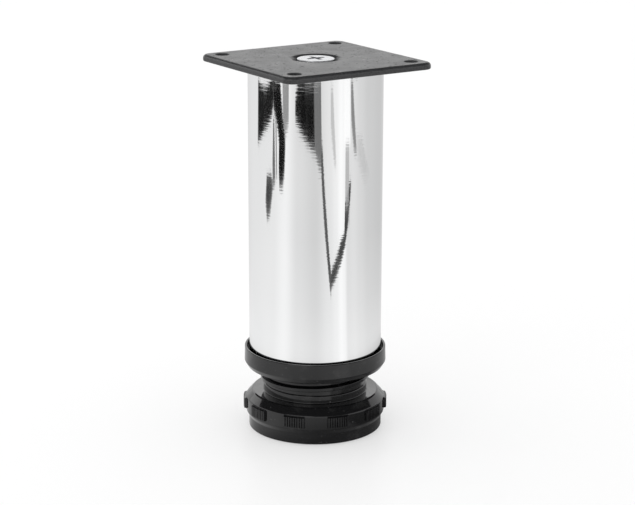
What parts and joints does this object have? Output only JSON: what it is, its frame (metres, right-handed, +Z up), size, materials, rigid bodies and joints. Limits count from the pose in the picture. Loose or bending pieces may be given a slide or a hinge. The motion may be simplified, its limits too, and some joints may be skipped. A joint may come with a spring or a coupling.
{
  "type": "height adjustable table leg",
  "caption": "Round chromed table leg under a square screw-on plate, with a black knurled foot that screws in and out of a collar to set the height.",
  "frame": {"origin": "on the floor, on the leg's axis, with the foot set as in the picture", "axes": "+Z up along the tube towards the plate, X and Y along the plate's sides"},
  "size_m": [0.0626, 0.0626, 0.1415],
  "materials": {
    "tube_chrome": "polished chrome plating",
    "plate_coat": "satin black powder coat with a fine grain",
    "black_plastic": "glossy moulded black",
    "pad_plastic": "matte dark grey",
    "plug_plastic": "matte moulded",
    "zinc_steel": "bright zinc plating"
  },
  "bodies": {
    "pad": {"floor_pad": "pad_plastic"},
    "foot": {"adjusting_foot": "black_plastic"},
    "leg": {"leg_tube": "tube_chrome", "foot_collar": "black_plastic", "top_plug": "plug_plastic", "captive_nut": "zinc_steel", "mounting_plate": "plate_coat", "centre_screw": "zinc_steel"}
  },
  "joints": [
    {"name": "foot_turn", "type": "hinge", "parent": "pad", "child": "foot", "pos_m": [0, 0, 0.002], "axis": [0, 0, -1], "range_deg": [-1080, 1800]},
    {"name": "leg_height", "type": "slide", "parent": "pad", "child": "leg", "axis": [0, 0, 1], "range_m": [-0.0096, 0.016]}
  ],
  "couplings": [
    {"joint": "foot_turn", "follows": "leg_height", "rad_per_m": 1963.5}
  ]
}
